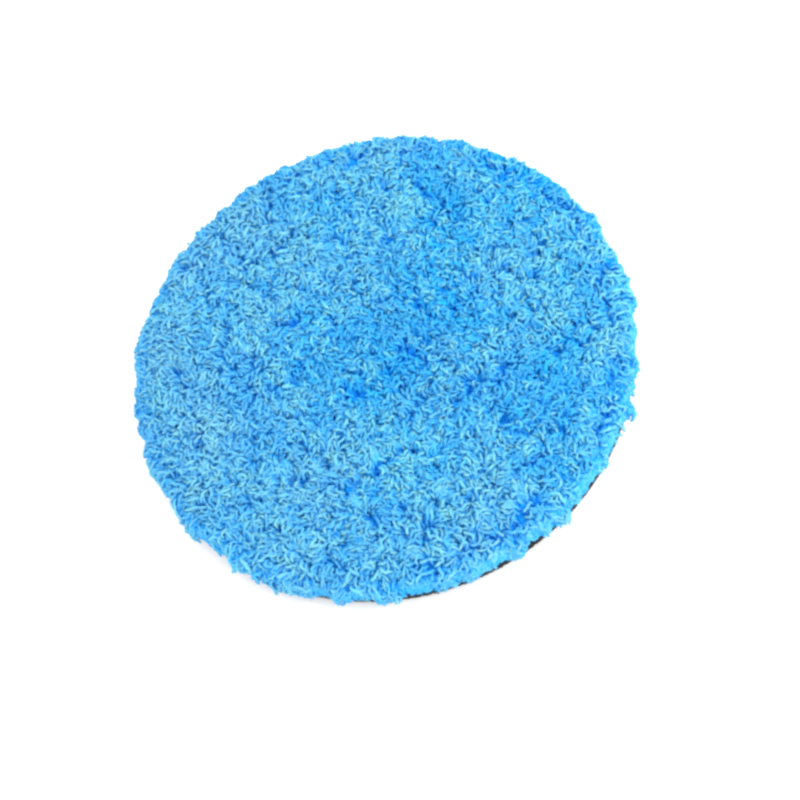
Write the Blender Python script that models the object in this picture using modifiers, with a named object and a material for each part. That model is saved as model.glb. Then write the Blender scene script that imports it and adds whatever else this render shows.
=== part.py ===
"""Round microfibre polishing pad for a machine polisher, built as a die-cut laminate.

From the machine side up: raised nylon loops, the cloth that holds them, an adhesive film, a foam
interlayer, a second film, the coating that locks the yarns, the knitted ground cloth, and the
microfibre pile, whose rim yarns hang outside the cut edge. The origin is the centre of the loop
face, where the pad presses onto a hook-faced backing plate, and +Z points to the pile.

The foam lets the face sink towards the backing under load. Everything above the foam is parented to
one empty, which travels along Z, and everything below it, with the foam, is parented to another.
"""

import math

import bpy

# Driving dimensions, in metres
CUT_RADIUS = 0.0770
PILE_RADIUS = 0.0800
PLY_GAP = 0.0003

NAP_HEIGHT = 0.0014
LOOP_CLOTH_THICKNESS = 0.0005
FILM_THICKNESS = 0.0003
FOAM_THICKNESS = 0.0050
COATING_THICKNESS = 0.0004
GROUND_CLOTH_THICKNESS = 0.0008
PILE_HEIGHT = 0.0072

# The loops lean in a little at the cut edge, and the foam's cut wall is drawn in at half height
NAP_INSET = 0.0005
NAP_ROUNDING = 0.0004
FOAM_WAIST = 0.0004
FOAM_ROUNDING = 0.0002

# The pile is crowned, rolls over at its shoulder, and ends in a skirt that hangs below its bed
CROWN_DROP = 0.0008
SHOULDER_WIDTH = 0.0090
SKIRT_DROP = 0.0055
SKIRT_CLEARANCE = 0.0008
SKIRT_TUCK = 0.0003

ROUND_STEPS = 72
PILE_STEPS = 96
WALL_LEVELS = 6
CROWN_RINGS = 8
SHOULDER_RINGS = 8
TIP_RINGS = 6
BEVEL_SEGMENTS = 2
MERGE_DISTANCE = 0.00002
SMOOTH_ANGLE = math.radians(35)
CARRIER_SIZE = 0.02

BLACK_NYLON = (0.018, 0.018, 0.021)
CHARCOAL_CLOTH = (0.040, 0.040, 0.046)
CHARCOAL_FOAM = (0.030, 0.029, 0.032)
MILKY_ADHESIVE = (0.72, 0.74, 0.76)
BLUE_LATEX = (0.13, 0.36, 0.66)
KNIT_BLUE = (0.02, 0.22, 0.66)
PILE_BLUE = (0.08, 0.45, 0.83)


def clear_scene():
    """Starts from an empty scene."""
    for obj in list(bpy.data.objects):
        bpy.data.objects.remove(obj)


def make_collection(name):
    """A collection of that name, linked to the scene."""
    collection = bpy.data.collections.new(name)
    bpy.context.scene.collection.children.link(collection)
    return collection


def make_material(name, colour, roughness, sheen=0.0):
    """A Principled material with a plain colour, for a ply that isn't metal."""
    material = bpy.data.materials.new(name)
    material.use_nodes = True
    shader = material.node_tree.nodes["Principled BSDF"]
    shader.inputs["Base Color"].default_value = (*colour, 1.0)
    shader.inputs["Roughness"].default_value = roughness
    shader.inputs["Metallic"].default_value = 0.0
    shader.inputs["Sheen Weight"].default_value = sheen
    return material


def make_carrier(name, height, collection):
    """An empty on the pad's axis that the plies on one side of the foam are parented to."""
    carrier = bpy.data.objects.new(name, None)
    carrier.empty_display_size = CARRIER_SIZE
    carrier.location = (0.0, 0.0, height)
    collection.objects.link(carrier)
    return carrier


def turn_profile(name, outline, steps, rounding):
    """A closed turned mesh. The outline is (radius, height) points that start on the axis at the top,
    run out and down the outer side, and end on the axis."""
    profile = bpy.data.meshes.new(name + "_profile")
    points = [(radius, 0.0, height) for radius, height in outline]
    edges = [(i, i + 1) for i in range(len(points) - 1)]
    profile.from_pydata(points, edges, [])
    lathe = bpy.data.objects.new(name + "_lathe", profile)
    bpy.context.scene.collection.objects.link(lathe)

    turn = lathe.modifiers.new("turn", "SCREW")
    turn.angle = math.tau
    turn.steps = steps
    turn.render_steps = steps
    turn.use_merge_vertices = True
    turn.merge_threshold = MERGE_DISTANCE
    if rounding > 0.0:
        bevel = lathe.modifiers.new("rounded_edges", "BEVEL")
        bevel.width = rounding
        bevel.segments = BEVEL_SEGMENTS
        bevel.limit_method = "ANGLE"
        bevel.angle_limit = SMOOTH_ANGLE

    depsgraph = bpy.context.evaluated_depsgraph_get()
    mesh = bpy.data.meshes.new_from_object(lathe.evaluated_get(depsgraph))
    mesh.name = name
    mesh.shade_smooth()
    mesh.set_sharp_from_angle(angle=SMOOTH_ANGLE)
    bpy.data.objects.remove(lathe)
    return mesh


def add_turned(name, outline, lift, material, carrier, steps=ROUND_STEPS, rounding=0.0):
    """A turned solid in its own object, whose zero height stands at lift above its carrier."""
    mesh = turn_profile(name, outline, steps, rounding)
    mesh.materials.append(material)
    solid = bpy.data.objects.new(name, mesh)
    carrier.users_collection[0].objects.link(solid)
    solid.parent = carrier
    solid.location = (0.0, 0.0, lift)
    return solid


def disc_outline(radius, thickness):
    """The outline of a die-cut ply."""
    return [(0.0, thickness), (radius, thickness), (radius, 0.0), (0.0, 0.0)]


def foam_outline():
    """The foam's outline. Its cut wall is drawn in by one shallow arc."""
    wall = []
    for i in range(WALL_LEVELS + 1):
        share = i / WALL_LEVELS
        pull = FOAM_WAIST * math.sin(math.pi * share)
        wall.append((CUT_RADIUS - pull, FOAM_THICKNESS * (1.0 - share)))
    return [(0.0, FOAM_THICKNESS), *wall, (0.0, 0.0)]


def crown_points():
    """The pile's crowned top, from the axis to the start of its shoulder."""
    shoulder_start = PILE_RADIUS - SHOULDER_WIDTH
    points = []
    for i in range(CROWN_RINGS):
        share = i / CROWN_RINGS
        points.append((shoulder_start * share, PILE_HEIGHT - CROWN_DROP * share ** 2))
    return points


def shoulder_points():
    """The quarter ellipse that rolls the pile over, from its crown to its widest ring at bed height."""
    centre = PILE_RADIUS - SHOULDER_WIDTH
    rise = PILE_HEIGHT - CROWN_DROP
    points = []
    for i in range(SHOULDER_RINGS + 1):
        angle = math.pi / 2 * (1.0 - i / SHOULDER_RINGS)
        points.append((centre + SHOULDER_WIDTH * math.cos(angle), rise * math.sin(angle)))
    return points


def skirt_points():
    """The rim yarns outside the cut edge: down the outside, round the tips, and up to the bed."""
    inner = CUT_RADIUS + SKIRT_CLEARANCE
    outer = PILE_RADIUS - SKIRT_TUCK
    tip_radius = (outer - inner) / 2
    tip_centre = (inner + tip_radius, tip_radius - SKIRT_DROP)
    points = []
    for i in range(TIP_RINGS + 1):
        angle = -math.pi * i / TIP_RINGS
        points.append((tip_centre[0] + tip_radius * math.cos(angle),
                       tip_centre[1] + tip_radius * math.sin(angle)))
    return [*points, (inner, 0.0)]


def pile_outline():
    """The pile's whole section. Its zero height is the bed, where the yarns leave the ground cloth."""
    return [*crown_points(), *shoulder_points(), *skirt_points(), (0.0, 0.0)]


def add_backing_plies(backing):
    """The plies that stay with the backing plate. Gives back the height that the face starts at."""
    nylon = make_material("loop_nylon", BLACK_NYLON, 0.75, sheen=0.3)
    cloth = make_material("loop_cloth", CHARCOAL_CLOTH, 0.85)
    adhesive = make_material("rear_adhesive", MILKY_ADHESIVE, 0.35)
    foam = make_material("charcoal_foam", CHARCOAL_FOAM, 0.95)

    lift = 0.0
    nap = disc_outline(CUT_RADIUS - NAP_INSET, NAP_HEIGHT)
    add_turned("loop_nap", nap, lift, nylon, backing, rounding=NAP_ROUNDING)
    lift += NAP_HEIGHT + PLY_GAP
    add_turned("loop_backcloth", disc_outline(CUT_RADIUS, LOOP_CLOTH_THICKNESS), lift, cloth, backing)
    lift += LOOP_CLOTH_THICKNESS + PLY_GAP
    add_turned("rear_adhesive_film", disc_outline(CUT_RADIUS, FILM_THICKNESS), lift, adhesive, backing)
    lift += FILM_THICKNESS + PLY_GAP
    add_turned("foam_interlayer", foam_outline(), lift, foam, backing, rounding=FOAM_ROUNDING)
    return lift + FOAM_THICKNESS + PLY_GAP


def add_face_plies(face):
    """The plies that sink together as the foam is pressed."""
    adhesive = make_material("face_adhesive", MILKY_ADHESIVE, 0.35)
    latex = make_material("latex_coating", BLUE_LATEX, 0.55)
    knit = make_material("blue_knit", KNIT_BLUE, 0.90)
    microfibre = make_material("blue_microfibre", PILE_BLUE, 0.95, sheen=0.5)

    lift = 0.0
    add_turned("face_adhesive_film", disc_outline(CUT_RADIUS, FILM_THICKNESS), lift, adhesive, face)
    lift += FILM_THICKNESS + PLY_GAP
    add_turned("yarn_lock_coating", disc_outline(CUT_RADIUS, COATING_THICKNESS), lift, latex, face)
    lift += COATING_THICKNESS + PLY_GAP
    add_turned("knit_ground_cloth", disc_outline(CUT_RADIUS, GROUND_CLOTH_THICKNESS), lift, knit, face)
    lift += GROUND_CLOTH_THICKNESS + PLY_GAP
    add_turned("microfibre_pile", pile_outline(), lift, microfibre, face, steps=PILE_STEPS)


def build():
    """Stacks the plies from the machine side up."""
    clear_scene()
    parts = make_collection("polishing_pad")
    backing = make_carrier("backing", 0.0, parts)
    face_height = add_backing_plies(backing)
    face = make_carrier("face", face_height, parts)
    add_face_plies(face)


build()
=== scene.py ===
"""Looks for the microfibre polishing pad: thousands of curly yarns over a thin foam and loop backing."""

import math

import bpy
import numpy as np
from mathutils import Matrix, Vector


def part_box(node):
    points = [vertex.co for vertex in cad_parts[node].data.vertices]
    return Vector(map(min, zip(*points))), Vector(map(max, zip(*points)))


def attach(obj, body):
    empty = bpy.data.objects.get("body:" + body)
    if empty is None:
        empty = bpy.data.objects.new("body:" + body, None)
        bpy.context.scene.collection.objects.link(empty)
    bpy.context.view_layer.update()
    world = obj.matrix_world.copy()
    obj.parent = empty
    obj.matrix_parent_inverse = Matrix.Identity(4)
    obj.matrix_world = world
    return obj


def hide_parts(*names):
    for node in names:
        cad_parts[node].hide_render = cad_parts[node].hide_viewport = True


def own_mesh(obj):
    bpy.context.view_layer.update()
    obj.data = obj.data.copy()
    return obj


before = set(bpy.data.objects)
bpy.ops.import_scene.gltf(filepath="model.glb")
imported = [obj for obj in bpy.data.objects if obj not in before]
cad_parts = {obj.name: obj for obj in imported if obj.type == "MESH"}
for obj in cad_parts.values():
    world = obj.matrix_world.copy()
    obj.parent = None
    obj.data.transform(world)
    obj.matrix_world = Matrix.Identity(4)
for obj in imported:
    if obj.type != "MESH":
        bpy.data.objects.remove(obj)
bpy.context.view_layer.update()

# The plies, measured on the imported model. Lengths here and below are metres.
cloth_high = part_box("knit_ground_cloth")[1]
pile_low, pile_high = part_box("microfibre_pile")
CUT_RADIUS = cloth_high.x
PILE_RADIUS = pile_high.x
BED = cloth_high.z
PILE_TOP = pile_high.z
SKIRT_LOW = pile_low.z

# Yarns
SEED = 7
YARN_RADIUS = 0.00045
YARN_RADIUS_SPREAD = 0.12
YARN_COUNT = 16000
RIM_YARN_COUNT = 1300
YARN_POINTS = 12
YARN_RINGS = 15
YARN_SIDES = 6
SECTOR_COUNT = 20
YARN_LENGTH = 0.0090
YARN_LENGTH_SPREAD = 0.0009
RIM_EXTRA_LENGTH = 0.10
RIM_EXTRA_LENGTH_SPREAD = 0.10
ROOT_SCATTER = 0.0003
ROOT_INSET = 0.0006
RIM_ROOT_INSET = (0.0002, 0.0012)
RIM_WIDTH = 0.0075

# The two plies twisted into each yarn, and the fine crimps along it
PLY_BREADTH = 0.20
PLY_PITCH = 0.0034
CRIMP_WAVELENGTH = (0.0024, 0.0042)
CRIMP_DEPTH = (0.00010, 0.00027)
CRIMP_TAPER = (0.05, 0.35)
LUMP_DEPTH = 0.07
LUMP_TURNS = (1.5, 3.0)
TIP_NARROWING = (0.93, 0.62)
TIP_DETAIL = 0.8

# How the yarns gather: clumps lean together, and a few yarns go their own way. Angles are radians.
CLUMP_COUNT = 1450
CLUMP_SCATTER = 0.0006
CLUMP_PULL = 0.52
CLUMP_PULL_SLOPE = 0.16
CLUMP_HEADING_SPREAD = 0.32
YARN_HEADING_SPREAD = 0.20
RIM_HEADING_SPREAD = 0.85
RIM_GATHER_DROP = 0.5
RIM_OUTWARD_PULL = 1.3
RIM_OUTWARD_SWING = 0.5
LOOSE_SHARE = 0.06
CURL_SPREAD = 300.0
CURL_SWING = 90.0
CURL_WAVELENGTH = 0.012
FIELD_WAVELENGTHS = (0.050, 0.020, 0.0090)
FIELD_SPREAD = (0.7, 1.5)
HEADING_SWINGS = (1.4, 0.9, 0.6)

# How deep a yarn's colour is, from 0 to 1
TONE_MEAN = 0.40
CLUMP_TONE_SPREAD = 0.25
YARN_TONE_SPREAD = 0.16
TONE_SWINGS = (0.15, 0.20, 0.14)
# Extra depth where the nap parts: painted shade of the opened pile.
PARTED_SHADE_TONE = 0.65

# The way the nap is brushed, as an angle from +X in the pad's plane
NAP_ANGLE = math.radians(145)

# Where the nap parts: place as a share of the pad's radius, spread in metres, and weight
NAP_PARTINGS = (
    (0.07, -0.08, 0.024, 0.016, 1.0),
    (0.30, 0.12, 0.012, 0.009, 0.6),
    (-0.52, 0.13, 0.010, 0.008, 0.9),
    (0.55, -0.30, 0.014, 0.008, 0.6),
    (-0.20, 0.62, 0.016, 0.007, 0.5),
)
PARTED_THINNING = 0.34
PARTED_SHORTENING = 0.08
PARTED_RISE = 0.12
PARTED_DIP = 0.0005

# How a yarn lies before it settles. Angles are degrees above the cloth, and the bend is a share of
# the yarn's length.
STANDING_ANGLE = 82.0
RIM_STANDING_DROP = 32.0
LYING_ANGLE = -4.0
LYING_SPREAD = 10.0
BEND_PLACE = (0.40, 0.70)
BEND_REACH = 0.22
RIM_BEND_DROP = 0.45
RIM_DROOP = 50.0
RIM_EDGE_DROOP = 14.0
RIM_LOCK_DROOP = 9.0
RIM_LOCK_WAVELENGTH = 0.013
RIM_DROOP_SPREAD = 17.0
LEAST_DROOP = 0.60

# The coarse waves of a yarn before it settles: their size in radians and how many there are
WAVE_SIZE = (0.12, 0.38)
RIM_WAVE_SIZE = (0.3, 1.6)
RIM_WAVE_SHARE = 0.60
WAVE_TURNS = (0.9, 2.3)
WAVE_RISE_SHARE = 0.6
CURL_PIVOT = 0.45

# The settling of the pile
SETTLE_ROUNDS = 48
PAIR_ROUNDS = 4
PAIR_REACH = 1.35
CONTACT_WIDTH = 0.98
CONTACT_STIFFNESS = 0.7
CURL_STIFFNESS = 0.10
LENGTH_SWEEPS = 2
SAG = 0.00002
JITTER_SMOOTHING = 0.25
CUT_EDGE_MARGIN = 0.0002
CUT_EDGE_GAP = 0.0003
RIM_EASING = 0.4
TOP_EASING = 0.5

# The shape that the settled pile keeps inside
CROWN_DROP = 0.0008
SHOULDER_START = 0.86
SHOULDER_END = 1.3
SHOULDER_DROP = 0.0048
SHOULDER_POWER = 2.2
TOP_LUMPS = 0.00045
TOP_LUMP_WAVELENGTH = 0.0075
RIM_INSET = 0.0010
RIM_RAGGED = 0.0010
RIM_RAGGED_WAVELENGTH = 0.014
RIM_TUFTS = 0.0011
RIM_TUFT_WAVELENGTH = 0.0055
RIM_BRUSHED = 0.0012
RIM_LEAST = 0.0005

# How the yarns' crowding is measured: just above a place over the cloth, and beside it at the rim
# The crowding darkens the yarns' colour: painted shade deep in the pile and at the rim.
CROWD_CELL = 0.0005
CROWD_REACH = 0.0007
CROWD_FULL_PERCENTILE = 90
CROWD_TURN = (CUT_RADIUS - 0.006, CUT_RADIUS + 0.002)
CROWD_TILT = 0.7

# The roots under the tips
ROOT_BED_HEIGHT = 0.0030
ROOT_BED_INSET = 0.0012
ROOT_BED_STEP = 0.0006
ROOT_BED_STEPS = 560
ROOT_BED_LUMPS = 0.0006
ROOT_BED_LUMP_WAVELENGTH = 0.0030
ROOT_BED_GRAIN = 0.0003
ROOT_BED_GRAIN_WAVELENGTH = 0.0013
ROOT_BED_SHOULDER = 0.90
ROOT_BED_CALM_EDGE = 0.97
ROOT_BED_CALMING = 0.8
ROOT_BED_LEAST = 0.0001

# Loops on the machine side
LOOP_COUNT = 8000
LOOP_PIECES = 3
LOOP_POINTS = 8
LOOP_SIDES = 4
LOOP_RADIUS = 0.00011
LOOP_INSET = 0.0009
LOOP_SCATTER = 0.00025
LOOP_SINK = 0.00005
LOOP_REACH = (0.72, 0.97)
LOOP_HALF_WIDTH = (0.00035, 0.00060)
LOOP_LEAN = 0.0003
LOOP_BULGE = 0.35
LOOP_THICKNESS = (0.85, 1.15)
LOOP_SQUARENESS = 0.8

# Plies. The inner rings of a ply's mesh are shares of its radius. A cut edge is the size of its lumps,
# how deep they are, and how far the wall stands out on average.
HALF_GAP = 0.00015
PLY_INNER_RINGS = (0.25, 0.5, 0.75, 0.92)
KNIT_EDGE = (0.0011, 0.00010, 0.0)
LATEX_EDGE = (0.0030, 0.00008, -0.0002)
ADHESIVE_EDGE = (0.0040, 0.00009, -0.0004)
FOAM_EDGE = (0.0010, 0.00013, -0.0001)
FOAM_WAIST = 0.0003
LOOP_CLOTH_EDGE = (0.0009, 0.00008, 0.0)

# Colours, linear
# Root colour: deep blue low in the pile, as painted shade, and the painted shade laid over the yarns.
YARN_ROOT_AND_SHADE_COLOUR = (0.003, 0.420, 0.975)
YARN_TIP_COLOUR = (0.210, 0.620, 0.608)
# The deep colour: darker yarns at random, and painted shade where the nap parts.
YARN_DEEP_COLOUR = (0.048, 0.400, 0.720)
# The haze colour is a painted sheen far from the sheen centre, and the colour of noise patches.
YARN_PAINTED_SHEEN_AND_CLOUD_COLOUR = (0.268, 0.520, 0.600)
YARN_FUZZ_COLOUR = (0.255, 0.570, 0.615)
YARN_SHEEN_COLOUR = (0.12, 0.82, 1.0, 1.0)
# The root bed has the yarn roots' deep blue, painted shade low in the pile.
ROOT_BED_COLOUR = (0.004, 0.36, 0.975)
# Painted shade in the hollows of the root bed's relief.
ROOT_BED_HOLLOW_SHADE_COLOUR = (0.005, 0.30, 0.900)
KNIT_COLOUR = (0.030, 0.45, 0.950)
# Painted shade in the hollows of the knit.
KNIT_HOLLOW_SHADE_COLOUR = (0.010, 0.28, 0.850)
LATEX_COLOUR = (0.13, 0.36, 0.66)
LATEX_STREAK_COLOUR = (0.20, 0.44, 0.72)
ADHESIVE_COLOUR = (0.060, 0.062, 0.066)
ADHESIVE_STREAK_COLOUR = (0.11, 0.11, 0.12)
FOAM_COLOUR = (0.040, 0.036, 0.040)
# The pores' darker colour is painted shade.
FOAM_PORE_SHADE_COLOUR = (0.006, 0.006, 0.007)
LOOP_COLOUR = (0.012, 0.012, 0.014)
LOOP_PALE_COLOUR = (0.085, 0.085, 0.092)
LOOP_CLOTH_COLOUR = (0.045, 0.045, 0.050)
# Painted shade in the hollows of the loop cloth's knit.
LOOP_CLOTH_HOLLOW_SHADE_COLOUR = (0.015, 0.015, 0.018)
FLOOR_COLOUR = (0.97, 0.97, 0.97)
FLOOR_GRAIN_COLOUR = (0.95, 0.95, 0.95)
WHITE = (1.0, 1.0, 1.0, 1.0)

# The yarn's colour: between which values each change happens, and how strong it gets
# Along a yarn, the painted root shade fades into the tip colour over PALE_RANGE.
PALE_RANGE = (0.30, 0.98)
FACE_CENTRE = (0.0, 0.0, 0.015)
RIM_REACH = (0.066, 0.079)
RIM_PALING = 0.30
# More painted crowd shade at the rim.
RIM_CROWD_SHADE = 0.6
# Painted sheen: the yarns grow hazier away from this centre, standing in for light on the pile.
PAINTED_SHEEN_CENTRE = (0.036, -0.004, 0.015)
PAINTED_SHEEN_REACH = (0.030, 0.120)
PAINTED_SHEEN_STRENGTH = 0.36
CLOUD_SIZE = 0.022
CLOUD_RANGE = (0.35, 0.70)
CLOUD_STRENGTH = 0.20
# Painted shade where the yarns crowd.
CROWD_SHADE_RANGE = (0.15, 0.80)
CROWD_SHADE_STRENGTH = 0.80
# Painted shade at the tubes' grazing sides.
GRAZING_SHADE_RANGE = (0.40, 0.95)
GRAZING_SHADE_STRENGTH = 0.85
# Painted shade in the groove between the two plies.
GROOVE_SHADE_RANGE = (-1.0, 0.2)
GROOVE_SHADE_STRENGTH = 0.35
FUZZ_SIZE = 0.00020
FUZZ_RANGE = (0.50, 0.75)
FUZZ_STRENGTH = 0.30

# Camera and light
CAMERA_ELEVATION = 60.6
CAMERA_ROLL = 24.6
CAMERA_LENS = 85.0
CAMERA_SHIFT = (0.0236, -0.056)
CAMERA_AIM = 0.6
SENSOR_WIDTH = 36.0
PAD_WIDTH_SHARE = 0.646
CAMERA_SOFTNESS = 2.9
SKY_STRENGTH = 1.47
KEY_POWER = 4.6
KEY_SIZE = 0.9
KEY_PLACE = (0.50, -0.32, 0.58)
FLOOR_SIZE = 6.0
FLOOR_GLOW = 0.15
LIGHT_BOUNCES = 32

TINY = 1e-9
rng = np.random.default_rng(SEED)


# ---------------------------------------------------------------- fields

def smoothstep(value, low, high):
    """0 below low, 1 above high, and smooth between."""
    share = np.clip((value - low) / (high - low), 0.0, 1.0)
    return share * share * (3.0 - 2.0 * share)


class WaveField:
    """Smooth noise in the pad's plane: a sum of waves of about one wavelength, of unit spread."""

    def __init__(self, wavelength, waves=28):
        angle = rng.uniform(0.0, math.tau, waves)
        number = math.tau / (wavelength * rng.uniform(*FIELD_SPREAD, waves))
        self.kx = number * np.cos(angle)
        self.ky = number * np.sin(angle)
        self.phase = rng.uniform(0.0, math.tau, waves)
        self.scale = math.sqrt(2.0 / waves)

    def __call__(self, x, y):
        total = np.zeros(np.shape(x))
        for kx, ky, phase in zip(self.kx, self.ky, self.phase):
            total += np.cos(kx * x + ky * y + phase)
        return total * self.scale


def blended(fields, weights, x, y):
    """A weighted sum of fields."""
    return sum(weight * field(x, y) for weight, field in zip(weights, fields))


# ---------------------------------------------------------------- where the yarns stand and lie

def sunflower(count, radius):
    """Evenly spread points in a disc, as (x, y)."""
    index = np.arange(count)
    reach = radius * np.sqrt((index + 0.5) / count)
    turn = index * math.pi * (3.0 - math.sqrt(5.0))
    return reach * np.cos(turn), reach * np.sin(turn)


def openness(x, y):
    """0 where the pile is full, up to 1 where the nap parts and shows more of its depth."""
    total = np.zeros(np.shape(x))
    for across, along, spread_x, spread_y, weight in NAP_PARTINGS:
        away_x = (x - across * PILE_RADIUS) / spread_x
        away_y = (y - along * PILE_RADIUS) / spread_y
        total += weight * np.exp(-(away_x ** 2 + away_y ** 2))
    return np.clip(total, 0.0, 1.0)


def scatter_roots():
    """The yarns' roots: even over the cloth, close round its edge, and thinner where the nap parts."""
    x, y = sunflower(YARN_COUNT, CUT_RADIUS - ROOT_INSET)
    x = x + rng.normal(0.0, ROOT_SCATTER, YARN_COUNT)
    y = y + rng.normal(0.0, ROOT_SCATTER, YARN_COUNT)
    turn = np.arange(RIM_YARN_COUNT) + rng.uniform(-0.4, 0.4, RIM_YARN_COUNT)
    turn = turn * math.tau / RIM_YARN_COUNT
    edge = CUT_RADIUS - rng.uniform(*RIM_ROOT_INSET, RIM_YARN_COUNT)
    x = np.concatenate([x, edge * np.cos(turn)])
    y = np.concatenate([y, edge * np.sin(turn)])
    kept = rng.uniform(0.0, 1.0, len(x)) >= PARTED_THINNING * openness(x, y)
    return x[kept], y[kept]


def gather_clumps(x, y, chunks=40):
    """Each yarn's clump, and the place of that clump's centre. A clump's yarns lean together."""
    cx, cy = sunflower(CLUMP_COUNT, CUT_RADIUS)
    cx = cx + rng.normal(0.0, CLUMP_SCATTER, CLUMP_COUNT)
    cy = cy + rng.normal(0.0, CLUMP_SCATTER, CLUMP_COUNT)
    nearest = []
    for px, py in zip(np.array_split(x, chunks), np.array_split(y, chunks)):
        apart = (px[:, None] - cx[None, :]) ** 2 + (py[:, None] - cy[None, :]) ** 2
        nearest.append(np.argmin(apart, axis=1))
    clump = np.concatenate(nearest)
    return clump, cx[clump], cy[clump]


def yarn_headings(x, y, rim, clump, centre_x, centre_y, fields):
    """Which way each yarn lies: with the nap and its clump in the open, and outward at the rim."""
    count = len(x)
    heading = NAP_ANGLE + blended(fields, HEADING_SWINGS, centre_x, centre_y)
    heading = heading + rng.normal(0.0, CLUMP_HEADING_SPREAD, CLUMP_COUNT)[clump]
    heading = heading + rng.normal(0.0, YARN_HEADING_SPREAD, count)
    loose = rng.uniform(0.0, 1.0, count) < LOOSE_SHARE
    heading = np.where(loose, rng.uniform(-math.pi, math.pi, count), heading)
    outward = np.arctan2(y, x) + RIM_OUTWARD_SWING * fields[-1](x, y)
    along_x = (1.0 - rim) * np.cos(heading) + rim * RIM_OUTWARD_PULL * np.cos(outward)
    along_y = (1.0 - rim) * np.sin(heading) + rim * RIM_OUTWARD_PULL * np.sin(outward)
    return np.arctan2(along_y, along_x) + rim * rng.normal(0.0, RIM_HEADING_SPREAD, count)


def lay_yarns(x, y, length, rim, rise, heading, curl):
    """The yarns' resting curves. Each leaves the cloth steeply, bends over, and lies along its heading.

    rim is 0 for a yarn of the open pile and 1 for one that hangs over the cut edge, and rise is the
    share of its length that stands before it bends."""
    count = len(x)
    step = (length / (YARN_POINTS - 1))[:, None]
    share = (np.arange(YARN_POINTS - 1) + 0.5) / (YARN_POINTS - 1)
    share = share[None, :]
    bend = smoothstep(share, rise[:, None] - BEND_REACH, rise[:, None] + BEND_REACH)
    steep = np.radians(STANDING_ANGLE - RIM_STANDING_DROP * rim)[:, None]
    locks = WaveField(RIM_LOCK_WAVELENGTH)(x, y)
    droop = RIM_DROOP + RIM_EDGE_DROOP * smoothstep(rim, 0.85, 1.0) + RIM_LOCK_DROOP * locks
    droop = rim * (droop + rng.normal(0.0, RIM_DROOP_SPREAD, count))
    brushed = 0.5 + 0.5 * np.cos(np.arctan2(y, x) - NAP_ANGLE)
    droop = droop * (LEAST_DROOP + (1.0 - LEAST_DROOP) * smoothstep(brushed, 0.0, 0.6))
    lying = np.radians(rng.normal(LYING_ANGLE, LYING_SPREAD, count) - droop)[:, None]
    elevation = steep + (lying - steep) * bend
    size = rng.uniform(*WAVE_SIZE, count)
    size = (size + RIM_WAVE_SHARE * rim * rng.uniform(*RIM_WAVE_SIZE, count))[:, None]
    phase = rng.uniform(0.0, math.tau, count)[:, None]
    turns = rng.uniform(*WAVE_TURNS, count)[:, None]
    travel = math.tau * turns * share + phase
    azimuth = heading[:, None] + curl[:, None] * (share - CURL_PIVOT) * length[:, None]
    azimuth = azimuth + size * np.sin(travel)
    elevation = elevation + WAVE_RISE_SHARE * size * np.cos(travel)

    flat = step * np.cos(elevation)
    steps = np.stack([flat * np.cos(azimuth), flat * np.sin(azimuth), step * np.sin(elevation)], axis=2)
    points = np.zeros((count, YARN_POINTS, 3))
    points[:, 0, 0] = x
    points[:, 0, 1] = y
    points[:, 0, 2] = BED
    points[:, 1:] = points[:, :1] + np.cumsum(steps, axis=1)
    return points


# ---------------------------------------------------------------- settling

def near_pairs(points, reach):
    """Index pairs of points closer than reach, found with a grid of cells."""
    cell = np.floor((points - points.min(axis=0)) / reach).astype(np.int64) + 1
    shape = cell.max(axis=0) + 2
    key = (cell[:, 0] * shape[1] + cell[:, 1]) * shape[2] + cell[:, 2]
    order = np.argsort(key, kind="stable")
    ranked = key[order]
    steps = (-1, 0, 1)
    neighbours = [(dx, dy, dz) for dx in steps for dy in steps for dz in steps]
    firsts, seconds = [], []
    for dx, dy, dz in neighbours[len(neighbours) // 2:]:
        offset = (dx * shape[1] + dy) * shape[2] + dz
        start = np.searchsorted(ranked, ranked + offset, side="left")
        end = np.searchsorted(ranked, ranked + offset, side="right")
        if offset == 0:
            start = np.arange(len(ranked)) + 1
            end = np.maximum(end, start)
        found = end - start
        first = np.repeat(np.arange(len(ranked)), found)
        shift = np.arange(len(first)) - np.repeat(np.cumsum(found) - found, found)
        firsts.append(order[first])
        seconds.append(order[np.repeat(start, found) + shift])
    first = np.concatenate(firsts)
    second = np.concatenate(seconds)
    gap = points[first] - points[second]
    close = np.einsum("ij,ij->i", gap, gap) < reach * reach
    return first[close], second[close]


def touching_candidates(points, reach):
    """Near pairs of yarn points, apart from a yarn's own neighbouring points."""
    count = len(points)
    yarn = np.repeat(np.arange(count), YARN_POINTS)
    place = np.tile(np.arange(YARN_POINTS), count)
    first, second = near_pairs(points.reshape(-1, 3), reach)
    apart = (yarn[first] != yarn[second]) | (np.abs(place[first] - place[second]) > 2)
    return first[apart], second[apart]


def push_apart(points, first, second, width):
    """Moves overlapping points apart. A point in many contacts takes a smaller share of each."""
    flat = points.reshape(-1, 3)
    gap = flat[first] - flat[second]
    distance = np.sqrt(np.einsum("ij,ij->i", gap, gap)) + TINY
    overlap = np.clip(width - distance, 0.0, None)
    push = gap * (0.5 * CONTACT_STIFFNESS * overlap / distance)[:, None]
    hit = overlap > 0.0
    moved = np.zeros_like(flat)
    contacts = np.ones(len(flat))
    np.add.at(contacts, first[hit], 0.5)
    np.add.at(contacts, second[hit], 0.5)
    for axis in range(3):
        moved[:, axis] += np.bincount(first[hit], push[hit, axis], len(flat))
        moved[:, axis] -= np.bincount(second[hit], push[hit, axis], len(flat))
    points += (moved / np.sqrt(contacts)[:, None]).reshape(points.shape)


def bends(points):
    """How sharply each yarn turns at each of its inner points."""
    return points[:, :-2] - 2.0 * points[:, 1:-1] + points[:, 2:]


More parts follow.
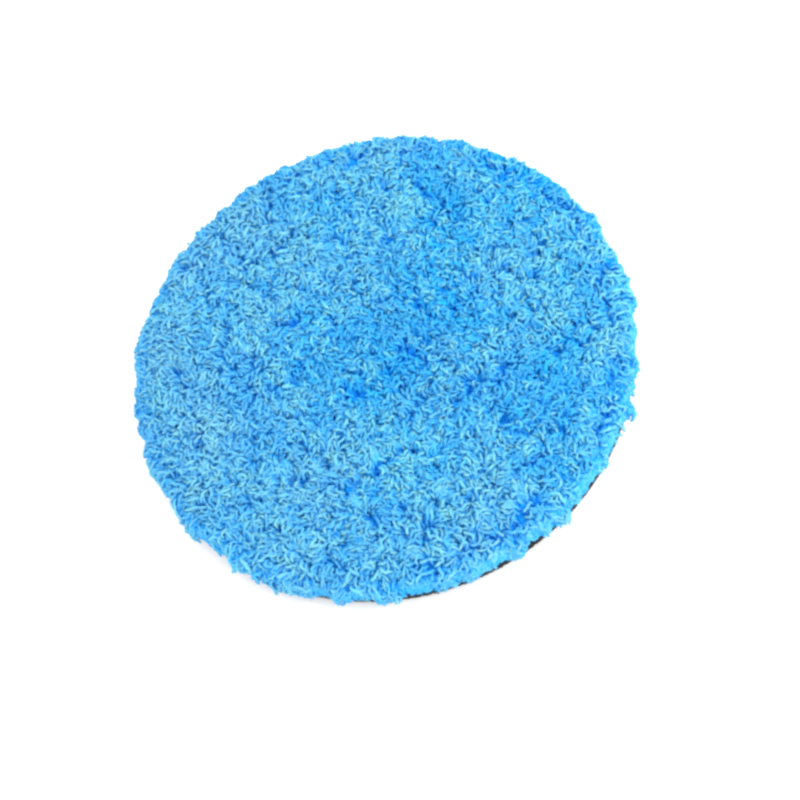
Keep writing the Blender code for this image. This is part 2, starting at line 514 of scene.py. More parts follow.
def keep_curl(points, rest_bend):
    """Turns each yarn back towards the curl that it was laid with."""
    error = bends(points) - rest_bend
    points[:, 1:-1] += CURL_STIFFNESS * error
    points[:, :-2] -= 0.5 * CURL_STIFFNESS * error
    points[:, 2:] -= 0.5 * CURL_STIFFNESS * error


def ceiling(x, y, lumps):
    """The height that the pile's yarns reach: crowned, rolled over at the rim, and a little lumpy."""
    r = np.hypot(x, y) / PILE_RADIUS
    crown = PILE_TOP - CROWN_DROP * r ** 2
    over = np.clip((r - SHOULDER_START) / (1.0 - SHOULDER_START), 0.0, SHOULDER_END)
    shoulder = SHOULDER_DROP * over ** SHOULDER_POWER
    return crown - shoulder + TOP_LUMPS * lumps(x, y) - PARTED_DIP * openness(x, y)


def rim_limit(theta, ragged, tufty):
    """How far out the pile spreads at each angle: unevenly, and furthest where the nap is brushed to."""
    x, y = CUT_RADIUS * np.cos(theta), CUT_RADIUS * np.sin(theta)
    limit = PILE_RADIUS - RIM_INSET + RIM_RAGGED * ragged(x, y) + RIM_TUFTS * tufty(x, y)
    return np.maximum(limit + RIM_BRUSHED * np.cos(theta - NAP_ANGLE), CUT_RADIUS + RIM_LEAST)


def keep_inside(points, lumps, ragged, tufty):
    """Keeps the yarns over the cloth or outside its cut edge, within the rim and under the ceiling."""
    x, y, z = points[:, :, 0], points[:, :, 1], points[:, :, 2]
    r = np.hypot(x, y) + TINY
    over = r < CUT_RADIUS + CUT_EDGE_MARGIN
    floor = np.where(over, BED + YARN_RADIUS, SKIRT_LOW + 0.3 * YARN_RADIUS)
    keep_out = CUT_RADIUS + CUT_EDGE_GAP + YARN_RADIUS
    beside = (z < BED + 0.2 * YARN_RADIUS) & ~over & (r < keep_out)
    scale = np.where(beside, keep_out / r, 1.0)
    limit = rim_limit(np.arctan2(y, x), ragged, tufty)
    eased = (1.0 - RIM_EASING) * scale + RIM_EASING * limit / r
    scale = np.where(r * scale > limit, eased, scale)
    x *= scale
    y *= scale
    top = ceiling(x, y, lumps) - YARN_RADIUS
    z[:] = np.where(z > top, z + TOP_EASING * (top - z), z)
    z[:] = np.maximum(z, floor)


def keep_length(points, rest_step):
    """Brings the links of each yarn back to their length, first the even ones and then the odd."""
    for parity in (0, 1):
        near = points[:, parity:-1:2]
        far = points[:, parity + 1::2]
        link = far - near
        size = np.linalg.norm(link, axis=2, keepdims=True) + TINY
        fix = 0.5 * (size - rest_step) / size * link
        near += fix
        far -= fix


def settle_yarns(points, length):
    """Position-based simulation of the pile: the yarns push each other apart, keep their length and
    their curl, sag a little, and stay over the cloth, outside the cut edge and under the ceiling."""
    rest_step = (length / (YARN_POINTS - 1))[:, None, None]
    rest_bend = bends(points)
    roots = points[:, :2].copy()
    width = 2.0 * YARN_RADIUS * CONTACT_WIDTH
    sag = np.linspace(0.0, 1.0, YARN_POINTS) ** 2 * SAG
    lumps = WaveField(TOP_LUMP_WAVELENGTH)
    ragged = WaveField(RIM_RAGGED_WAVELENGTH)
    tufty = WaveField(RIM_TUFT_WAVELENGTH)
    for turn in range(SETTLE_ROUNDS):
        if turn % PAIR_ROUNDS == 0:
            first, second = touching_candidates(points, width * PAIR_REACH)
        push_apart(points, first, second, width)
        points[:, :, 2] -= sag[None, :]
        keep_curl(points, rest_bend)
        keep_inside(points, lumps, ragged, tufty)
        for sweep in range(LENGTH_SWEEPS):
            keep_length(points, rest_step)
            points[:, :2] = roots
    return points


# ---------------------------------------------------------------- curves into tubes

def smooth_yarns(points):
    """Takes the last jitter out of the settled curves."""
    points[:, 1:-1] += JITTER_SMOOTHING * bends(points)
    return points


def finer_yarns(points):
    """More points along each settled curve, closest together near the tip, through a smooth spline."""
    last = YARN_POINTS - 1
    places = last * np.linspace(0.0, 1.0, YARN_RINGS) ** TIP_DETAIL
    start = np.minimum(places.astype(int), last - 1)
    f = (places - start)[None, :, None]
    before = 2.0 * points[:, :1] - points[:, 1:2]
    after = 2.0 * points[:, -1:] - points[:, -2:-1]
    padded = np.concatenate([before, points, after], axis=1)
    a, b, c, d = (padded[:, start + shift] for shift in range(4))
    return 0.5 * (2.0 * b + (c - a) * f + (2.0 * a - 5.0 * b + 4.0 * c - d) * f ** 2
                  + (3.0 * b - a - 3.0 * c + d) * f ** 3)


def arc_length(points):
    """How far along its curve each point lies."""
    steps = np.linalg.norm(np.diff(points, axis=1), axis=2)
    return np.concatenate([np.zeros((len(points), 1)), np.cumsum(steps, axis=1)], axis=1)


def carried_frames(points):
    """The tangent and two normals at every point of many curves, turning as little as they can."""
    tangent = np.gradient(points, axis=1)
    tangent /= np.linalg.norm(tangent, axis=2, keepdims=True) + TINY
    normal = np.zeros_like(points)
    side = np.cross(tangent[:, 0], np.array([0.3, 0.9, 0.2]))
    normal[:, 0] = side / (np.linalg.norm(side, axis=1, keepdims=True) + TINY)
    for ring in range(1, points.shape[1]):
        carried = normal[:, ring - 1]
        along = np.sum(carried * tangent[:, ring], axis=1, keepdims=True)
        carried = carried - along * tangent[:, ring]
        normal[:, ring] = carried / (np.linalg.norm(carried, axis=1, keepdims=True) + TINY)
    return tangent, normal, np.cross(tangent, normal)


def crimp_yarns(points):
    """Bends each yarn into the small crimps of textured microfibre."""
    count = len(points)
    _, normal, binormal = carried_frames(points)
    travel = arc_length(points)
    taper = smoothstep(np.linspace(0.0, 1.0, YARN_RINGS), *CRIMP_TAPER)[None, :, None]
    for direction in (normal, binormal):
        wavelength = rng.uniform(*CRIMP_WAVELENGTH, count)[:, None]
        phase = rng.uniform(0.0, math.tau, count)[:, None]
        depth = rng.uniform(*CRIMP_DEPTH, count)[:, None]
        wave = depth * np.sin(math.tau * travel / wavelength + phase)
        points = points + wave[:, :, None] * taper * direction
    return points


def yarn_radii(count):
    """Each yarn's radius along its length: a little lumpy, and rounded off at the tip."""
    share = np.linspace(0.0, 1.0, YARN_RINGS)[None, :]
    profile = np.ones(YARN_RINGS)
    profile[-2:] = TIP_NARROWING
    turns = rng.uniform(*LUMP_TURNS, count)[:, None]
    start = rng.uniform(0.0, 1.0, count)[:, None]
    lump = 1.0 + LUMP_DEPTH * np.sin(math.tau * (turns * share + start))
    thickness = YARN_RADIUS * rng.normal(1.0, YARN_RADIUS_SPREAD, count)[:, None]
    return thickness * profile[None, :] * lump


def tube_verts(points, radii, sides, twist_pitch=None):
    """Rings of points round each curve, then the curve's two end points. With a twist pitch, the tube
    is broader one way than the other, like two plies, and turns once in each pitch."""
    tangent, normal, binormal = carried_frames(points)
    angle = np.arange(sides) * math.tau / sides
    width = np.ones(sides)
    turn = np.zeros(points.shape[:2])
    if twist_pitch:
        width = 1.0 + PLY_BREADTH * np.cos(2.0 * angle)
        turn = math.tau * (arc_length(points) / twist_pitch + rng.uniform(0.0, 1.0, (len(points), 1)))
    spin = turn[:, :, None] + angle[None, None, :]
    spoke = (normal[:, :, None, :] * np.cos(spin)[..., None]
             + binormal[:, :, None, :] * np.sin(spin)[..., None])
    wall = points[:, :, None, :] + spoke * radii[:, :, None, None] * width[None, None, :, None]
    start = points[:, 0] - tangent[:, 0] * radii[:, :1] * 0.4
    end = points[:, -1] + tangent[:, -1] * radii[:, -1:] * 0.6
    return np.concatenate([wall.reshape(len(points), -1, 3), start[:, None], end[:, None]], axis=1)


def tube_faces(count, rings, sides):
    """Quads along the tubes and triangles at their ends, as vertex numbers, for count tubes."""
    row = np.arange(rings - 1)[:, None] * sides
    here = np.arange(sides)[None, :]
    there = (here + 1) % sides
    quads = np.stack([row + here, row + there, row + sides + there, row + sides + here], axis=2)
    here, there = here[0], there[0]
    last = (rings - 1) * sides
    start = np.stack([np.full(sides, rings * sides), there, here], axis=1)
    end = np.stack([np.full(sides, rings * sides + 1), last + here, last + there], axis=1)
    base = (np.arange(count) * (rings * sides + 2))[:, None, None]
    all_quads = (quads.reshape(-1, 4)[None] + base).reshape(-1, 4)
    all_tris = (np.concatenate([start, end])[None] + base).reshape(-1, 3)
    return all_quads, all_tris


def fill_mesh(name, verts, quads, tris):
    """A smooth mesh from arrays of vertices, quads and triangles."""
    mesh = bpy.data.meshes.new(name)
    mesh.vertices.add(len(verts))
    mesh.vertices.foreach_set("co", verts.reshape(-1).astype(np.float32))
    corners = np.concatenate([quads.reshape(-1), tris.reshape(-1)])
    mesh.loops.add(len(corners))
    mesh.loops.foreach_set("vertex_index", corners.astype(np.int32))
    sizes = np.concatenate([np.full(len(quads), 4), np.full(len(tris), 3)])
    mesh.polygons.add(len(sizes))
    mesh.polygons.foreach_set("loop_start", (np.cumsum(sizes) - sizes).astype(np.int32))
    mesh.update(calc_edges=True)
    mesh.shade_smooth()
    return mesh


def add_values(mesh, name, values):
    """One number for each vertex, for a material to read."""
    attribute = mesh.attributes.new(name, "FLOAT", "POINT")
    attribute.data.foreach_set("value", values.reshape(-1).astype(np.float32))


class Crowding:
    """How full of yarn the space just outside a place is: 0 in the open, 1 deep in the pile. The yarn
    colour turns it into painted shade.
    """

    def __init__(self, points):
        flat = points.reshape(-1, 3)
        self.low = flat.min(axis=0) - 3.0 * CROWD_CELL
        shape = ((flat.max(axis=0) - self.low) / CROWD_CELL).astype(int) + 4
        cell = ((flat - self.low) / CROWD_CELL).astype(int)
        index = np.ravel_multi_index(cell.T, shape)
        fill = np.bincount(index, minlength=int(np.prod(shape))).reshape(shape).astype(float)
        for sweep in range(2):
            for axis in range(3):
                fill = (np.roll(fill, 1, axis) + fill + np.roll(fill, -1, axis)) / 3.0
        self.fill = fill / np.percentile(fill[fill > 0.0], CROWD_FULL_PERCENTILE)

    def __call__(self, places):
        x, y = places[..., 0], places[..., 1]
        r = np.hypot(x, y) + TINY
        over = smoothstep(r, *CROWD_TURN)
        outward = np.stack([x / r * over, y / r * over, 1.0 - CROWD_TILT * over], axis=-1)
        outward /= np.linalg.norm(outward, axis=-1, keepdims=True)
        cell = ((places + outward * CROWD_REACH - self.low) / CROWD_CELL).astype(int)
        cell = np.clip(cell, 0, np.array(self.fill.shape) - 1)
        return np.clip(self.fill[cell[..., 0], cell[..., 1], cell[..., 2]], 0.0, 1.0)


def tube_mesh(name, points, radii, sides, tone, twist_pitch=None, crowding=None):
    """Closed tubes along many curves, as one mesh. Each curve is a row of points."""
    count, rings, _ = points.shape
    verts = tube_verts(points, radii, sides, twist_pitch).reshape(-1, 3)
    mesh = fill_mesh(name, verts, *tube_faces(count, rings, sides))
    share = np.repeat(np.linspace(0.0, 1.0, rings), sides)
    share = np.concatenate([share, [0.0, 1.0]])
    add_values(mesh, "along", np.tile(share, count))
    add_values(mesh, "tone", np.repeat(tone, len(share)))
    if crowding:
        # The ply value shapes the bump and the painted groove shade; the crowding value sets painted
        # shade.
        ply = np.cos(np.arange(sides) * 2.0 * math.tau / sides)
        ply = np.concatenate([np.tile(ply, rings), [0.0, 0.0]])
        add_values(mesh, "ply", np.tile(ply, count))
        add_values(mesh, "crowd_shade", crowding(verts))
    return mesh


# ---------------------------------------------------------------- the pile

def yarn_tones(x, y, clump, parted, fields):
    """How deep each yarn's colour is: much the same within a clump, and deepest where the nap parts,
    as painted shade.
    """
    tone = TONE_MEAN + CLUMP_TONE_SPREAD * rng.normal(0.0, 1.0, CLUMP_COUNT)[clump]
    tone = tone + YARN_TONE_SPREAD * rng.normal(0.0, 1.0, len(x))
    tone = tone + blended(fields, TONE_SWINGS, x, y) + PARTED_SHADE_TONE * parted
    return np.clip(tone, 0.0, 1.0)


def make_pile():
    """Settled yarn curves for the whole pad, with their radii and tones."""
    x, y = scatter_roots()
    count = len(x)
    rim = smoothstep(np.hypot(x, y), CUT_RADIUS - RIM_WIDTH, CUT_RADIUS)
    clump, centre_x, centre_y = gather_clumps(x, y)
    fields = [WaveField(wavelength) for wavelength in FIELD_WAVELENGTHS]
    heading = yarn_headings(x, y, rim, clump, centre_x, centre_y, fields)

    parted = openness(x, y) * (1.0 - rim)
    length = rng.normal(YARN_LENGTH, YARN_LENGTH_SPREAD, count)
    length = length * (1.0 + rim * rng.normal(RIM_EXTRA_LENGTH, RIM_EXTRA_LENGTH_SPREAD, count))
    length = length * (1.0 - PARTED_SHORTENING * parted)
    rise = (rng.uniform(*BEND_PLACE, count) + PARTED_RISE * parted) * (1.0 - RIM_BEND_DROP * rim)
    curl = rng.normal(0.0, CURL_SPREAD, count) + CURL_SWING * WaveField(CURL_WAVELENGTH)(x, y)
    points = lay_yarns(x, y, length, rim, rise, heading, curl)

    gather = (CLUMP_PULL + CLUMP_PULL_SLOPE * x / PILE_RADIUS) * (1.0 - RIM_GATHER_DROP * rim)
    pull = np.linspace(0.0, 1.0, YARN_POINTS)[None, :] * gather[:, None]
    points[:, :, 0] += pull * (centre_x - x)[:, None]
    points[:, :, 1] += pull * (centre_y - y)[:, None]
    points = settle_yarns(points, length)
    points = crimp_yarns(finer_yarns(smooth_yarns(points)))
    tone = yarn_tones(x, y, clump, parted, fields)
    return points, yarn_radii(count), tone


# ---------------------------------------------------------------- materials

class Shade:
    """A Principled material and the few kinds of node that its pattern is made of."""

    def __init__(self, name, roughness=0.9, specular=0.2):
        self.material = bpy.data.materials.new(name)
        self.material.use_nodes = True
        self.tree = self.material.node_tree
        self.shader = self.tree.nodes["Principled BSDF"]
        self.set({"Roughness": roughness, "Specular IOR Level": specular})

    def set(self, values):
        """Gives the shader's inputs plain values, by their names."""
        for name, value in values.items():
            self.shader.inputs[name].default_value = value

    def node(self, kind, **settings):
        made = self.tree.nodes.new("ShaderNode" + kind)
        for setting, value in settings.items():
            setattr(made, setting, value)
        return made

    def feed(self, socket, source):
        """Links a source into a socket, or sets the socket to a plain value."""
        if isinstance(source, bpy.types.NodeSocket):
            self.tree.links.new(source, socket)
        else:
            socket.default_value = source

    def place(self):
        """The place in the pad's frame."""
        return self.node("TexCoord").outputs["Object"]

    def value(self, name):
        """A number that the mesh holds for each vertex."""
        return self.node("Attribute", attribute_name=name).outputs["Fac"]

    def math(self, operation, first, second=0.0):
        made = self.node("Math", operation=operation)
        self.feed(made.inputs[0], first)
        self.feed(made.inputs[1], second)
        return made.outputs["Value"]

    def noise(self, size, detail=2.0):
        """Noise from 0 to 1, whose lumps are about that size."""
        made = self.node("TexNoise")
        self.feed(made.inputs["Vector"], self.place())
        made.inputs["Scale"].default_value = 1.0 / size
        made.inputs["Detail"].default_value = detail
        return made.outputs["Fac"]

    def cells(self, size):
        """The distance from the middles of cells that are about that size."""
        made = self.node("TexVoronoi")
        self.feed(made.inputs["Vector"], self.place())
        made.inputs["Scale"].default_value = 1.0 / size
        return made.outputs["Distance"]

    def distance(self, point):
        """How far each surface point is from a fixed point."""
        away = self.node("VectorMath", operation="DISTANCE")
        self.feed(away.inputs[0], self.place())
        away.inputs[1].default_value = point
        return away.outputs["Value"]

    def mix(self, share, first, second):
        """From the first colour to the second, as share goes from 0 to 1."""
        made = self.node("Mix", data_type="RGBA")
        self.feed(made.inputs[0], share)
        for socket, colour in ((made.inputs[6], first), (made.inputs[7], second)):
            self.feed(socket, (*colour, 1.0) if isinstance(colour, tuple) else colour)
        return made.outputs[2]

    def span(self, value, low, high, to_low=0.0, to_high=1.0):
        """Maps low..high to to_low..to_high, with smooth ends."""
        made = self.node("MapRange", interpolation_type="SMOOTHSTEP")
        for socket, number in zip(made.inputs, (value, low, high, to_low, to_high)):
            self.feed(socket, number)
        return made.outputs["Result"]

    def bump(self, height, distance):
        made = self.node("Bump")
        made.inputs["Distance"].default_value = distance
        self.feed(made.inputs["Height"], height)
        self.feed(self.shader.inputs["Normal"], made.outputs["Normal"])

    def colour(self, source):
        self.feed(self.shader.inputs["Base Color"], source)

    def roughness(self, source):
        self.feed(self.shader.inputs["Roughness"], source)


def yarn_colour(shade, ply, fuzz):
    """Deep blue at the root, paler at the tip and at the rim: painted shade low in the pile. Painted
    shade also where the yarns crowd, at their grazing sides and in the groove between the plies. Hazier
    in noise patches, and with a painted sheen far from the sheen centre."""
    rim = shade.span(shade.distance(FACE_CENTRE), *RIM_REACH, 0.0, RIM_PALING)
    # Deep blue root fading to the pale tip: painted shade low in the pile.
    rise = shade.span(shade.math("ADD", shade.value("along"), rim), *PALE_RANGE)
    pale = shade.mix(rise, YARN_ROOT_AND_SHADE_COLOUR, YARN_TIP_COLOUR)
    deep = shade.mix(rise, YARN_ROOT_AND_SHADE_COLOUR, YARN_DEEP_COLOUR)
    body = shade.mix(shade.span(shade.value("tone"), 0.0, 1.0), pale, deep)

    # Painted sheen growing away from the sheen centre, plus paler noise patches.
    painted_sheen = shade.span(shade.distance(PAINTED_SHEEN_CENTRE), *PAINTED_SHEEN_REACH, 0.0, PAINTED_SHEEN_STRENGTH)
    cloud = shade.span(shade.noise(CLOUD_SIZE), *CLOUD_RANGE, 0.0, CLOUD_STRENGTH)
    body = shade.mix(shade.math("ADD", painted_sheen, cloud), body, YARN_PAINTED_SHEEN_AND_CLOUD_COLOUR)

    # Painted shade where the yarns crowd, more at the rim.
    crowd_shade = shade.math("ADD", shade.value("crowd_shade"), shade.math("MULTIPLY", rim, RIM_CROWD_SHADE))
    # Painted shade at the tubes' grazing sides, where they curve away into the gaps.
    facing = shade.node("LayerWeight").outputs["Facing"]
    # Each painted shade lays the root blue over the colour: crowding, grazing sides, ply groove.
    for painted_shade in (shade.span(crowd_shade, *CROWD_SHADE_RANGE, 0.0, CROWD_SHADE_STRENGTH),
                      shade.span(facing, *GRAZING_SHADE_RANGE, 0.0, GRAZING_SHADE_STRENGTH),
                      shade.span(ply, *GROOVE_SHADE_RANGE, GROOVE_SHADE_STRENGTH, 0.0)):
        body = shade.mix(painted_shade, body, YARN_ROOT_AND_SHADE_COLOUR)
    return shade.mix(shade.span(fuzz, *FUZZ_RANGE, 0.0, FUZZ_STRENGTH), body, YARN_FUZZ_COLOUR)


def yarn_material():
    """Split microfibre: two plies twisted together, with a matt fuzz of fine fibre."""
    shade = Shade("microfibre_yarn", specular=0.01)
    ply = shade.value("ply")
    fuzz = shade.noise(FUZZ_SIZE, detail=3.0)
    shade.colour(yarn_colour(shade, ply, fuzz))
    shade.roughness(shade.span(fuzz, 0.3, 0.7, 0.82, 0.98))
    shade.bump(shade.math("ADD", shade.math("MULTIPLY", ply, 0.30), fuzz), 0.00010)
    shade.set({"Sheen Weight": 0.06, "Sheen Roughness": 0.45, "Sheen Tint": YARN_SHEEN_COLOUR})
    return shade.material


def knit_material(name, pale, deep, stitch):
    """Knitted cloth: courses of small stitches, under a little fuzz. The low parts of this relief take
    the darker colour, as painted shade.
    """
    shade = Shade(name)
    place = shade.node("SeparateXYZ")
    shade.feed(place.inputs[0], shade.place())
    wales = shade.math("SINE", shade.math("MULTIPLY", place.outputs["X"], math.tau / stitch))
    courses = shade.math("SINE", shade.math("MULTIPLY", place.outputs["Y"], math.tau / (0.75 * stitch)))
    fuzz = shade.noise(0.00035, detail=3.0)
    weave = shade.math("MULTIPLY", shade.math("MULTIPLY", wales, courses), 0.5)
    height = shade.math("ADD", weave, fuzz)
    # Painted shade: the darker colour in the low parts of the stitch relief.
    shade.colour(shade.mix(shade.span(height, 0.0, 1.0), deep, pale))
    shade.roughness(shade.span(fuzz, 0.3, 0.7, 0.8, 0.98))
    shade.bump(height, 0.00025)
    return shade.material


def foam_material():
    """Charcoal open-cell foam: dark pores, as painted shade, in a slightly paler skeleton."""
    shade = Shade("charcoal_foam")
    pores = shade.cells(0.00045)
    fine = shade.noise(0.00018)
    # Painted shade: the pore hollows take the darker colour.
    shade.colour(shade.mix(shade.span(pores, 0.15, 0.55), FOAM_PORE_SHADE_COLOUR, FOAM_COLOUR))
    shade.roughness(shade.span(fine, 0.3, 0.7, 0.85, 1.0))
    shade.bump(shade.math("ADD", pores, shade.math("MULTIPLY", fine, 0.3)), 0.0003)
    return shade.material


def film_material(name, colour, streak_colour, roughness):
    """A thin bonded film with faint streaks and a dimpled surface."""
    shade = Shade(name, specular=0.4)
    blotch = shade.noise(0.0022, detail=4.0)
    shade.colour(shade.mix(shade.span(blotch, 0.40, 0.65), colour, streak_colour))
    shade.roughness(shade.span(blotch, 0.3, 0.7, roughness, roughness + 0.25))
    shade.bump(shade.noise(0.0006), 0.0001)
    return shade.material


def loop_material():
    """Black nylon loops with a slight sheen, greyer where they catch lint."""
    shade = Shade("loop_nylon", specular=0.45)
    tone = shade.value("tone")
    lint = shade.span(shade.noise(0.0030, detail=3.0), 0.55, 0.75, 0.0, 0.35)
    body = shade.mix(tone, LOOP_COLOUR, LOOP_PALE_COLOUR)
    shade.colour(shade.mix(lint, body, LOOP_PALE_COLOUR))
    shade.roughness(shade.span(tone, 0.0, 1.0, 0.45, 0.70))
    shade.bump(shade.noise(0.00012), 0.00004)
    return shade.material


def floor_material():
    """A plain pale sheet with a barely visible grain, lit a little from within to soften shadows."""
    shade = Shade("studio_floor", specular=0.1)
    shade.colour(shade.mix(shade.noise(0.03), FLOOR_COLOUR, FLOOR_GRAIN_COLOUR))
    shade.set({"Emission Color": WHITE, "Emission Strength": FLOOR_GLOW})
    return shade.material


# ---------------------------------------------------------------- stage

def make_floor():
    bpy.ops.mesh.primitive_plane_add(size=FLOOR_SIZE, location=(0, 0, 0))
    floor = bpy.context.object
    floor.name = "floor"
    floor.data.materials.append(floor_material())


def make_light():
    """A white sky and one large soft lamp."""
    scene = bpy.context.scene
    scene.world = scene.world or bpy.data.worlds.new("studio")
    scene.world.use_nodes = True
    background = scene.world.node_tree.nodes["Background"]
    background.inputs["Color"].default_value = WHITE
    background.inputs["Strength"].default_value = SKY_STRENGTH

    key = bpy.data.lights.new("key", "AREA")
    key.shape = "DISK"
    key.size = KEY_SIZE
    key.energy = KEY_POWER
    lamp = bpy.data.objects.new("key", key)
    scene.collection.objects.link(lamp)
    lamp.location = KEY_PLACE
    lamp.rotation_euler = (-lamp.location).to_track_quat("-Z", "Y").to_euler()
    scene.view_settings.view_transform = "Standard"
    scene.cycles.max_bounces = LIGHT_BOUNCES
    scene.cycles.diffuse_bounces = LIGHT_BOUNCES


def make_camera():
    """A long lens that looks down on the pad and is rolled to its tilt, with slightly soft focus."""
    data = bpy.data.cameras.new("camera")
    data.lens = CAMERA_LENS
    data.sensor_width = SENSOR_WIDTH
    data.clip_start = 0.01
    data.shift_x, data.shift_y = CAMERA_SHIFT
    camera = bpy.data.objects.new("camera", data)
    scene = bpy.context.scene
    scene.collection.objects.link(camera)
    target = Vector((0, 0, PILE_TOP * CAMERA_AIM))
    distance = 2 * PILE_RADIUS / PAD_WIDTH_SHARE * CAMERA_LENS / SENSOR_WIDTH
    elevation = math.radians(CAMERA_ELEVATION)
    away = Vector((0, -math.cos(elevation), math.sin(elevation)))
    look = (-away).to_track_quat("-Z", "Y").to_matrix().to_4x4()
    roll = Matrix.Rotation(math.radians(-CAMERA_ROLL), 4, "Z")
    camera.matrix_world = Matrix.Translation(target + away * distance) @ look @ roll
    scene.camera = camera
    scene.cycles.filter_width = CAMERA_SOFTNESS


# ---------------------------------------------------------------- pieces

def add_piece(mesh, material, body, node):
    """Puts a finished mesh in the scene, riding on a body and standing for a CAD node."""
    mesh.materials.append(material)
    piece = bpy.data.objects.new(mesh.name, mesh)
    bpy.context.scene.collection.objects.link(piece)
    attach(piece, body)
    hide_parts(node)
    return piece


def build_pile():
    """The pile, in sectors that are each a piece of their own."""
    points, radii, tone = make_pile()
    crowding = Crowding(points)
    material = yarn_material()
    turn = np.arctan2(points[:, 0, 1], points[:, 0, 0]) / math.tau % 1.0
    sector = (turn * SECTOR_COUNT).astype(int)
    for number in range(SECTOR_COUNT):
        own = sector == number
        name = f"pile_sector_{number + 1:02d}"
        mesh = tube_mesh(name, points[own], radii[own], YARN_SIDES, tone[own], PLY_PITCH, crowding)
        add_piece(mesh, material, "face", "microfibre_pile")


def disc_mesh(name, rings, high, low):
    """A closed disc from rings of points, which run from its middle over its edge and back below."""
    steps = len(rings[0])
    here = np.arange(steps)
    there = (here + 1) % steps
    row = (np.arange(len(rings) - 1) * steps)[:, None]
    quads = np.stack([row + here, row + steps + here, row + steps + there, row + there], axis=2)
    last = (len(rings) - 1) * steps
    top = np.full(steps, last + steps)
    tris = np.concatenate([np.stack([top, here, there], axis=1),
                           np.stack([top + 1, last + there, last + here], axis=1)])
    verts = np.concatenate([np.reshape(rings, (-1, 3)), [[0.0, 0.0, high], [0.0, 0.0, low]]])
    return fill_mesh(name, verts, quads.reshape(-1, 4), tris)


def build_root_bed():
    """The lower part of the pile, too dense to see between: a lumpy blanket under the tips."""
    radius = CUT_RADIUS - ROOT_BED_INSET
    count = int(radius / ROOT_BED_STEP)
    lumps = WaveField(ROOT_BED_LUMP_WAVELENGTH)
    grain = WaveField(ROOT_BED_GRAIN_WAVELENGTH)
    share = np.arange(1, count + 1)[:, None] / count
    turn = np.arange(ROOT_BED_STEPS)[None, :] * math.tau / ROOT_BED_STEPS
    x = radius * share * np.cos(turn)
    y = radius * share * np.sin(turn)
    over = np.clip((share - ROOT_BED_SHOULDER) / (1.0 - ROOT_BED_SHOULDER), 0.0, 1.0)
    unevenness = 1.0 - ROOT_BED_CALMING * (share > ROOT_BED_CALM_EDGE)
    z = BED + ROOT_BED_HEIGHT * (1.0 - over ** 2)
    z = z + unevenness * (ROOT_BED_LUMPS * lumps(x, y) + ROOT_BED_GRAIN * grain(x, y))
    z = np.maximum(z, BED + ROOT_BED_LEAST)
    under = np.stack([x[-1], y[-1], np.full(ROOT_BED_STEPS, BED - HALF_GAP)], axis=1)
    rings = np.concatenate([np.stack([x, y, z], axis=2), under[None]])
    mesh = disc_mesh("pile_root_bed", rings, BED + ROOT_BED_HEIGHT, BED - HALF_GAP)
    # Deep root blue, with painted shade in the hollows of its relief.
    material = knit_material("packed_yarn_roots", ROOT_BED_COLOUR, ROOT_BED_HOLLOW_SHADE_COLOUR, 0.0009)
    add_piece(mesh, material, "face", "microfibre_pile")


def cut_edge(size, depth, mean):
    """An uneven die-cut edge, with lumps of that size and depth."""
    lumps = WaveField(size)
    fine = WaveField(size / 2.7)

    def edge(turn, z):
        s = turn * CUT_RADIUS
        return mean + depth * (lumps(s, z * 1.3) + 0.5 * fine(s, z * 1.3))
    return edge


def waisted(edge, low, high, depth):
    """An edge that also pulls in between its top and its bottom."""
    def pulled_in(turn, z):
        return edge(turn, z) - depth * np.sin(math.pi * (z - low) / (high - low))
    return pulled_in


def level(node):
    """A node's lowest and highest heights, each moved out half a ply gap, so that plies touch."""
    low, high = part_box(node)
    return low.z - HALF_GAP, high.z + HALF_GAP


def ply_mesh(name, node, edge, steps, rows):
    """A closed disc in a CAD ply's place, with so many steps round its wall and rows down it. edge gives
    how far the wall stands out from the cut, at each angle and height."""
    low, high = level(node)
    turn = np.arange(steps) * math.tau / steps
    inner = [np.full(steps, CUT_RADIUS * share) for share in PLY_INNER_RINGS]
    rings = [(r, np.full(steps, high)) for r in inner]
    rings += [(CUT_RADIUS + edge(turn, np.full(steps, z)), np.full(steps, z))
              for z in np.linspace(high, low, rows)]
    rings += [(r, np.full(steps, low)) for r in inner[::-1]]
    rings = [np.stack([r * np.cos(turn), r * np.sin(turn), z], axis=1) for r, z in rings]
    return disc_mesh(name, rings, high, low)


def build_foam():
    """The foam, on the backing, with a mesh of its own."""
    low, high = level("foam_interlayer")
    edge = waisted(cut_edge(*FOAM_EDGE), low, high, FOAM_WAIST)
    mesh = ply_mesh("foam_open_cell", "foam_interlayer", edge, steps=1500, rows=18)
    foam = add_piece(mesh, foam_material(), "backing", "foam_interlayer")
    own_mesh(foam)


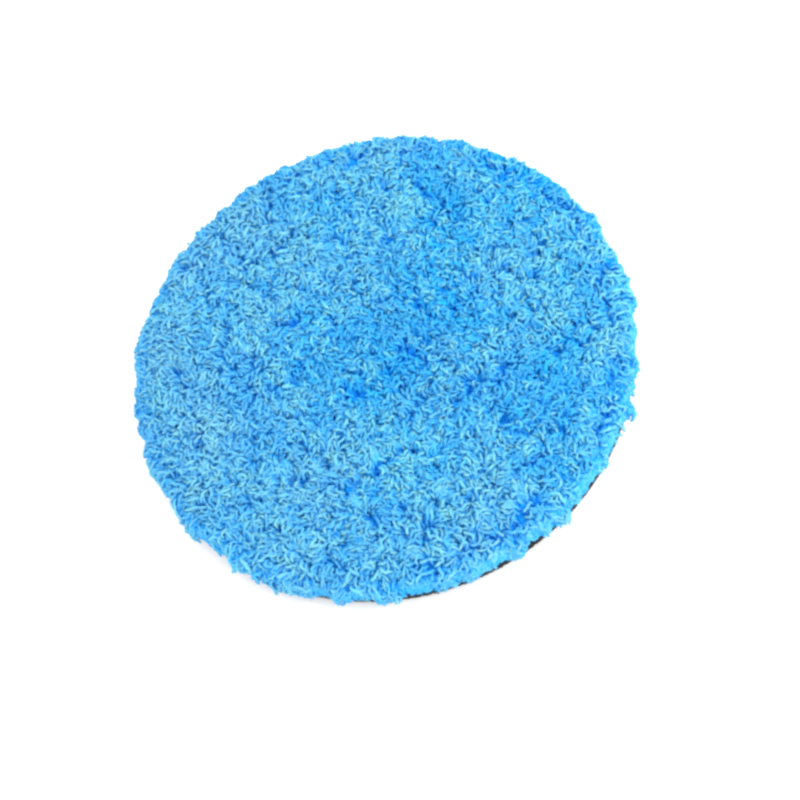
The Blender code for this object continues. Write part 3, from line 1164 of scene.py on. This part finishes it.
def build_plies():
    """Every ply but the pile and the loops."""
    knit = knit_material("blue_knit", KNIT_COLOUR, KNIT_HOLLOW_SHADE_COLOUR, 0.0011)
    edge = cut_edge(*KNIT_EDGE)
    mesh = ply_mesh("knit_ground_cloth_edge", "knit_ground_cloth", edge, steps=900, rows=5)
    add_piece(mesh, knit, "face", "knit_ground_cloth")

    latex = film_material("dried_latex", LATEX_COLOUR, LATEX_STREAK_COLOUR, 0.45)
    edge = cut_edge(*LATEX_EDGE)
    mesh = ply_mesh("yarn_lock_latex", "yarn_lock_coating", edge, steps=600, rows=4)
    add_piece(mesh, latex, "face", "yarn_lock_coating")

    adhesive = film_material("hot_melt_film", ADHESIVE_COLOUR, ADHESIVE_STREAK_COLOUR, 0.30)
    for node, slot, body in (("face_adhesive_film", "face_adhesive", "face"),
                             ("rear_adhesive_film", "rear_adhesive", "backing")):
        edge = cut_edge(*ADHESIVE_EDGE)
        mesh = ply_mesh(node + "_bonded", node, edge, steps=600, rows=4)
        add_piece(mesh, adhesive, body, node)

    build_foam()

    cloth = knit_material("loop_cloth", LOOP_CLOTH_COLOUR, LOOP_CLOTH_HOLLOW_SHADE_COLOUR, 0.0008)
    edge = cut_edge(*LOOP_CLOTH_EDGE)
    mesh = ply_mesh("loop_backcloth_knit", "loop_backcloth", edge, steps=900, rows=4)
    add_piece(mesh, cloth, "backing", "loop_backcloth")


def loop_curves(x, y):
    """Small arches that hang from the loop cloth, each leaning its own way."""
    foot = level("loop_backcloth")[0] + LOOP_SINK
    reach = (foot - LOOP_RADIUS) * rng.uniform(*LOOP_REACH, LOOP_COUNT)
    half = rng.uniform(*LOOP_HALF_WIDTH, LOOP_COUNT)[:, None]
    heading = rng.uniform(0.0, math.tau, LOOP_COUNT)[:, None]
    lean = rng.normal(0.0, LOOP_LEAN, (LOOP_COUNT, 2))
    arc = np.linspace(0.0, math.pi, LOOP_POINTS)[None, :]
    sway = np.sin(arc)
    across = -np.cos(arc) * half * (1.0 + LOOP_BULGE * sway)
    drop = sway ** LOOP_SQUARENESS * reach[:, None]
    return np.stack([x[:, None] + across * np.cos(heading) + sway * lean[:, :1],
                     y[:, None] + across * np.sin(heading) + sway * lean[:, 1:],
                     foot - drop], axis=2)


def build_loops():
    """The nylon loops that grip the backing plate, in a few pieces."""
    x, y = sunflower(LOOP_COUNT, CUT_RADIUS - LOOP_INSET)
    x = x + rng.normal(0.0, LOOP_SCATTER, LOOP_COUNT)
    y = y + rng.normal(0.0, LOOP_SCATTER, LOOP_COUNT)
    points = loop_curves(x, y)
    radii = np.full((LOOP_COUNT, LOOP_POINTS), LOOP_RADIUS)
    radii = radii * rng.uniform(*LOOP_THICKNESS, LOOP_COUNT)[:, None]
    tone = rng.uniform(0.0, 1.0, LOOP_COUNT)
    material = loop_material()
    order = np.argsort(np.arctan2(y, x))
    for number, own in enumerate(np.array_split(order, LOOP_PIECES)):
        mesh = tube_mesh(f"loop_nap_{number + 1}", points[own], radii[own], LOOP_SIDES, tone[own])
        add_piece(mesh, material, "backing", "loop_nap")


build_pile()
build_root_bed()
build_plies()
build_loops()
make_floor()
make_light()
make_camera()
